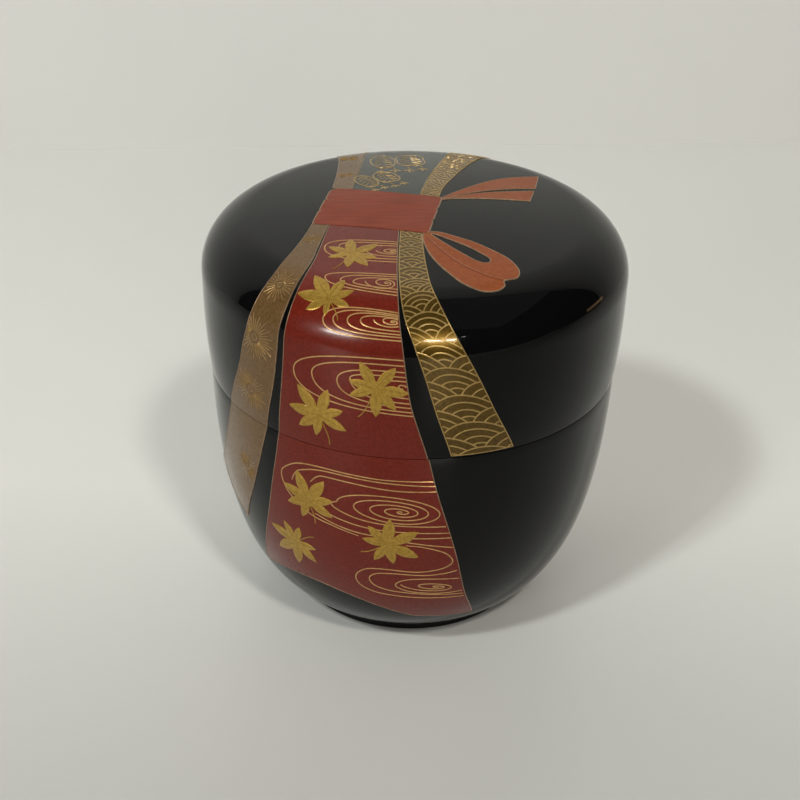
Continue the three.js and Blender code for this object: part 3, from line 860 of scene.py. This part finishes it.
# Water that turns back: share and distance of the turn, then the distances it runs at.
LID_LOOPS = [
    (0.055, 6.9, 4.2, 10.5), (0.235, 6.4, 4.9, 9.7), (0.60, 7.3, 5.6, 8.9),
    (0.217, 15.6, 13.8, 17.9), (0.392, 16.0, 14.3, 17.4), (0.531, 16.3, 14.8, 16.9),
    (0.33, 22.6, 20.5, 24.9), (0.42, 22.5, 20.85, 24.4), (0.547, 22.5, 21.1, 24.0),
    (0.662, 22.4, 21.4, 23.5), (0.104, 30.8, 27.5, 35.8), (0.265, 30.9, 28.3, 35.2),
    (0.469, 31.5, 29.2, 34.5), (0.572, 30.9, 29.9, 33.8), (0.80, 31.2, 30.5, 33.0),
]
# Water that curls up: share and distance of the eye, half turns, reach, drift, height.
LID_SPIRALS = [
    (0.94, 7.3, 5, 1.9, 0.5, 1.0), (0.90, 15.9, 5, 2.2, 1.0, 1.3), (0.952, 22.1, 5, 2.1, 0.7, 0.95),
    (0.96, 31.5, 3, 1.5, 0.3, 1.0),
]
BODY_SPIRALS = [
    (0.775, 9.1, 9, 8.1, 1.65, 2.7, -1,
     ((10.2, 0.395), (11.3, 0.5), (11.7, 0.64), (11.6, 0.82), (11.5, 0.99))),
    (0.881, 23.7, 5, 4.3, 1.6, 1.1),
]
# Water on the body that runs through (distance, share) points.
BODY_WATER = [
    [(3.6, 1.0), (3.7, 0.69), (3.6, 0.52), (3.6, 0.30), (4.3, 0.156), (6.1, 0.07), (7.5, 0.056),
     (9.4, 0.085), (11.1, 0.137), (13.3, 0.264), (14.1, 0.392), (14.8, 0.524)],
    [(4.4, 1.0), (4.2, 0.686), (4.1, 0.346), (5.2, 0.193), (6.4, 0.148), (7.9, 0.133)],
    [(5.3, 1.0), (5.4, 0.761), (5.1, 0.518), (5.1, 0.346), (5.6, 0.292), (6.9, 0.253)],
    [(12.8, 0.289), (13.8, 0.423), (14.2, 0.555), (13.9, 0.76), (13.6, 1.0)],
    [(11.2, 0.32), (12.1, 0.386), (12.7, 0.5), (12.9, 0.609), (12.8, 0.8), (12.7, 1.0)],
    [(14.6, 0.74), (15.0, 0.86), (15.5, 1.0)],
    [(15.3, 0.76), (15.5, 0.85), (16.5, 0.945), (18.1, 0.976), (19.3, 0.94), (20.1, 0.87), (20.6, 0.78),
     (20.7, 0.65), (21.3, 0.56), (22.6, 0.512), (24.1, 0.497), (25.7, 0.518), (26.6, 0.58), (26.7, 0.667),
     (26.6, 0.794), (26.4, 0.9), (26.2, 0.99)],
    [(20.1, 0.986), (20.7, 0.92), (21.2, 0.82), (21.4, 0.69), (22.0, 0.6), (23.3, 0.562), (24.8, 0.579),
     (25.5, 0.64), (25.6, 0.735), (25.6, 0.865), (25.5, 0.99)],
    [(21.8, 0.99), (22.0, 0.815), (22.7, 0.72), (24.1, 0.68), (25.1, 0.73), (25.3, 0.82), (25.2, 0.9),
     (24.7, 0.99)],
]


def maple_dip(share):
    """How far the maple ribbon's bottom edge stops short: it rises in a bow, left of its middle."""
    across = np.clip(np.asarray(share, float) / 0.72, 0, 1)
    return 3.9 * np.sin(np.pi * across ** 0.9)


def make_maple_ribbon():
    ribbon("maple_ribbon_lid_layer", MAPLE_LID, RED, "lid", "red_lacquer", "maple_ribbon_lid",
           start=-0.6)
    ribbon("maple_ribbon_body_layer", MAPLE_BODY, RED, "body", "red_lacquer", "maple_ribbon_body",
           dip=maple_dip)
    parts = (("lid", MAPLE_LID, LID_LOOPS, LID_SPIRALS, [], LID_LEAVES, no_dip),
             ("body", MAPLE_BODY, [], BODY_SPIRALS, BODY_WATER, BODY_LEAVES, maple_dip))
    for body, strip, loops, spirals, lines, leaves, dip in parts:
        water = Mesher()
        for loop in loops:
            water_loop(water, strip, *loop)
        for spiral in spirals:
            water_spiral(water, strip, *spiral)
        for points in lines:
            water_line(water, strip, points)
        water.build(f"water_lines_{body}", WATER_LINE, body, "gold_powder_lacquer")
        leaf = Mesher()
        veins = Mesher()
        for centre, lobes, stem in leaves:
            maple_leaf(leaf, veins, centre, lobes, stem)
        leaf.build(f"maple_leaves_{body}", LEAF_GOLD, body, "gold_powder_lacquer")
        veins.build(f"maple_leaf_veins_{body}", LEAF_VEIN, body, "gold_powder_lacquer")
        edge = Mesher()
        edge_lines(edge, strip, 0.16, body == "body", dip)
        edge.build(f"maple_ribbon_edges_{body}", PALE_EDGE, body, "gold_powder_lacquer")


# Chrysanthemums: the place of the eye, and the radius.
LID_BURSTS = [((-14.9, -12.0), 1.7), ((-19.0, -23.2), 2.7), ((-26.2, -28.4), 3.8), ((-34.2, -33.6), 3.5)]
BODY_BURSTS = [((-48.8, -40.2), 2.8)]
BACK_BURSTS = [((-11.5, 12.6), 1.5), ((-11.4, 21.6), 1.9), (place(-157, 34), 2.3), (place(-158, 44), 2.7)]


def make_copper_ribbons():
    ribbon("burst_ribbon_lid_layer", BURST_LID, COPPER, "lid", "copper_powder_lacquer",
           "chrysanthemum_ribbon_lid", start=-0.6)
    ribbon("burst_ribbon_body_layer", BURST_BODY, COPPER, "body", "copper_powder_lacquer",
           "chrysanthemum_ribbon_body")
    ribbon("copper_ribbon_back_layer", COPPER_BACK, COPPER, "lid", "copper_powder_lacquer",
           "copper_ribbon_back", start=-0.3)
    for body, parts in (("lid", [(BURST_LID, LID_BURSTS, False), (COPPER_BACK, BACK_BURSTS, True)]),
                        ("body", [(BURST_BODY, BODY_BURSTS, True)])):
        flowers = Mesher()
        edge = Mesher()
        for strip, bursts, far_end in parts:
            for centre, radius in bursts:
                burst(flowers, strip, centre, radius)
            edge_lines(edge, strip, 0.15, far_end)
        flowers.build(f"chrysanthemums_{body}", COPPER_LINE, body, "copper_powder_lacquer")
        edge.build(f"copper_ribbon_edges_{body}", PALE_EDGE, body, "copper_powder_lacquer")


def make_wave_ribbons():
    for name, strip, node, start in (("wave_ribbon_front_layer", WAVE_FRONT, "wave_ribbon_front", -0.8),
                                     ("wave_ribbon_back_layer", WAVE_BACK, "wave_ribbon_back", -0.4)):
        ribbon(name, strip, GOLD, "lid", "gold_powder_lacquer", node, start=start)
        lines = Mesher()
        overlapping_waves(lines, strip)
        edge_lines(lines, strip, 0.2)
        lines.build(name.replace("layer", "lines"), GOLD_LINE, "lid", "gold_powder_lacquer")


# Pines: the place of the middle, and the size.
LID_PINES = [((-5.9, 10.5), 0.92), ((-2.9, 19.6), 1.15), (PINE_LID.place(31.0, 0.5), 1.15),
             (PINE_LID.place(42.5, 0.6), 1.2)]
BODY_PINES = [(PINE_BODY.place(6.5, 0.45), 1.25), (PINE_BODY.place(16.0, 0.6), 1.1)]


def make_pine_ribbon():
    ribbon("pine_ribbon_lid_layer", PINE_LID, GREEN, "lid", "green_lacquer", "pine_ribbon_back_lid",
           start=-0.4)
    ribbon("pine_ribbon_body_layer", PINE_BODY, GREEN, "body", "green_lacquer", "pine_ribbon_back_body")
    for body, strip, pines in (("lid", PINE_LID, LID_PINES), ("body", PINE_BODY, BODY_PINES)):
        lines = Mesher()
        for centre, size in pines:
            pine(lines, centre, size)
        edge_lines(lines, strip, 0.14, body == "body")
        lines.build(f"pines_{body}", GOLD_LINE, body, "gold_powder_lacquer")


# ---- stage, light and camera

# The stage, in metres: half its width, the wall behind the caddy and its turn in degrees, and how far
# the floor that the lacquer reflects reaches to the front.
STAGE_HALF = 0.9
WALL_DISTANCE = 0.205
WALL_HEIGHT = 0.95
WALL_TURN = 5.3
FLOOR_FRONT = 0.24


def plain(name, colour, roughness, front_painted_shadow=1.0):
    """A plain, faintly mottled surface. In a soft band across the floor in front of the caddy its colour is
    multiplied by the last argument: a painted shadow."""
    look = Look(name)
    look.set("Roughness", roughness)
    dark = tuple(c * 0.975 for c in colour)
    base = look.ramp(look.noise(6, 3), [(0.3, dark), (0.7, colour)])
    # Painted shadow: a ramp along the floor's y darkens its colour in a band in front of the caddy.
    where = look.nodes.new("ShaderNodeTexCoord")
    split = look.nodes.new("ShaderNodeSeparateXYZ")
    look.link(where.outputs["Object"], split.inputs[0])
    forward = look.nodes.new("ShaderNodeMapRange")
    forward.inputs["From Min"].default_value = -FLOOR_FRONT
    forward.inputs["From Max"].default_value = 0.02
    look.link(split.outputs["Y"], forward.inputs["Value"])
    painted_shadow_stops = [(0.0, grey(1)), (0.3, grey(front_painted_shadow)), (0.46, grey(front_painted_shadow)), (1.0, grey(1))]
    mix = look.nodes.new("ShaderNodeMix")
    mix.data_type = "RGBA"
    mix.blend_type = "MULTIPLY"
    mix.inputs["Factor"].default_value = 1
    look.link(base, mix.inputs[6])
    look.link(look.ramp(forward.outputs["Result"], painted_shadow_stops), mix.inputs[7])
    look.feed(mix.outputs[2], "Base Color")
    return look.material


def panel(name, corners, material):
    mesh = bpy.data.meshes.new(name)
    mesh.from_pydata(corners, [], [(0, 1, 2, 3)])
    mesh.materials.append(material)
    piece = bpy.data.objects.new(name, mesh)
    bpy.context.scene.collection.objects.link(piece)
    return piece


def upright(start, end):
    """The corners of an upright panel over the floor, from one (x, y) place to another."""
    return [(*start, 0), (*end, 0), (*end, WALL_HEIGHT), (*start, WALL_HEIGHT)]


def make_stage():
    """The floor, the wall behind it, and a pale room round the other three sides, which glows in place of
    being lit.
    """
    half = STAGE_HALF
    tilt = math.tan(math.radians(WALL_TURN)) * half
    left, right = WALL_DISTANCE - tilt, WALL_DISTANCE + tilt
    # The floor's colour drops to half in the painted shadow band in front of the caddy.
    floor_white = plain("floor_white", (0.81, 0.81, 0.775), 0.35, 0.5)
    panel("floor", [(-half, -FLOOR_FRONT, 0), (half, -FLOOR_FRONT, 0), (half, right, 0), (-half, left, 0)],
          floor_white)
    panel("backdrop", upright((-half, left), (half, right)), plain("wall_white", (0.77, 0.77, 0.745), 0.7))
    far_corners = [(-half, -half, 0), (half, -half, 0), (half, -FLOOR_FRONT, 0), (-half, -FLOOR_FRONT, 0)]
    far_floor = panel("floor_behind_the_camera", far_corners, floor_white)
    far_floor.visible_glossy = False
    glow = glowing_surround()
    corners = [(-half, left), (-half, -half), (half, -half), (half, right)]
    for number in range(3):
        side = panel(f"surround_{number + 1}", upright(corners[number], corners[number + 1]), glow)
        side.visible_glossy = False
        side.visible_diffuse = False
        side.visible_shadow = False


def glowing_surround():
    """The pale room beyond the floor, which only the camera sees. It is painted light: it glows in place of
    lit walls.
    """
    look = Look("glowing_surround")
    look.set("Base Color", (0, 0, 0, 1))
    look.set("Specular IOR Level", 0)
    # Painted light: the surround glows with this colour instead of being lit.
    look.set("Emission Color", (1, 1, 0.95, 1))
    look.set("Emission Strength", 0.55)
    return look.material


def soft_light(name, direction, distance, size, watts, colour, in_reflections=False):
    """A lamp, (width, height) in size, that faces the caddy from a direction, (right, forward, up)."""
    lamp = bpy.data.lights.new(name, "AREA")
    lamp.shape = "RECTANGLE"
    lamp.size, lamp.size_y = size
    lamp.energy = watts
    lamp.color = colour
    light = bpy.data.objects.new(name, lamp)
    towards = -Vector(direction).normalized()
    light.location = Vector((0, 0, HEIGHT / 2 * MM)) - towards * distance
    light.rotation_euler = towards.to_track_quat("-Z", "Y").to_euler()
    light.visible_glossy = in_reflections
    light.visible_camera = False
    bpy.context.scene.collection.objects.link(light)
    return light


LEFT_GLINT = (-0.579, -0.741, 0.342)
RIGHT_GLINT = (0.224, -0.9, 0.375)
NEUTRAL = (1, 0.98, 0.94)
WARM = (1, 0.96, 0.85)


def make_lights():
    """Soft light from above, two keys that throw the shadows, and lamps seen as glints in the lacquer."""
    soft_light("sky_light", (0, -0.25, 1), 1.25, (2.4, 1.6), 2.3, (1, 0.985, 0.955), in_reflections=True)
    soft_light("left_key", (-0.37, -0.45, 0.67), 1.0, (0.09, 0.09), 3.5, (0.97, 1.0, 0.99))
    soft_light("right_key", (0.21, -0.50, 0.67), 1.0, (0.09, 0.09), 2.9, (1, 0.965, 0.90))
    soft_light("left_glint", LEFT_GLINT, 1.2, (0.36, 0.035), 2.0, NEUTRAL, in_reflections=True)
    soft_light("right_glint", RIGHT_GLINT, 1.2, (0.34, 0.025), 1.4, WARM, in_reflections=True)
    left_glow = soft_light("left_glow", LEFT_GLINT, 1.19, (0.26, 0.13), 5.5, NEUTRAL, in_reflections=True)
    right_glow = soft_light("right_glow", RIGHT_GLINT, 1.19, (0.3, 0.075), 4.5, WARM, in_reflections=True)
    left_glow.visible_diffuse = False
    right_glow.visible_diffuse = False
    soft_light("spark", (0.394, -0.808, 0.438), 1.1, (0.03, 0.012), 0.05, NEUTRAL, in_reflections=True)
    soft_light("warm_glint", (0.96, 0.2, 0.05), 0.5, (0.12, 0.03), 0.02, (1, 0.6, 0.3), in_reflections=True)
    world = bpy.data.worlds.new("room")
    world.use_nodes = True
    background = world.node_tree.nodes["Background"]
    background.inputs["Color"].default_value = (0.012, 0.012, 0.012, 1)
    bpy.context.scene.world = world


CAMERA_PLACE = (0.0, -0.19867, 0.15019)
CAMERA_LENS = 63.0
CAMERA_PITCH = 30.71
CAMERA_YAW = -0.55
CAMERA_ROLL = 1.12


def make_camera():
    data = bpy.data.cameras.new("camera")
    data.lens = CAMERA_LENS
    data.sensor_width = 36
    data.clip_start = 0.01
    data.clip_end = 10
    camera = bpy.data.objects.new("camera", data)
    yaw = Matrix.Rotation(math.radians(-CAMERA_YAW), 4, "Z")
    tilt = Matrix.Rotation(math.radians(90 - CAMERA_PITCH), 4, "X")
    roll = Matrix.Rotation(math.radians(CAMERA_ROLL), 4, "Z")
    camera.matrix_world = Matrix.Translation(CAMERA_PLACE) @ yaw @ tilt @ roll
    bpy.context.scene.collection.objects.link(camera)
    bpy.context.scene.camera = camera


make_camera()
make_stage()
make_lights()
make_lid()
make_body()
make_bow(make_tie())
make_maple_ribbon()
make_copper_ribbons()
make_wave_ribbons()
make_pine_ribbon()
bpy.context.scene.view_settings.view_transform = "Standard"
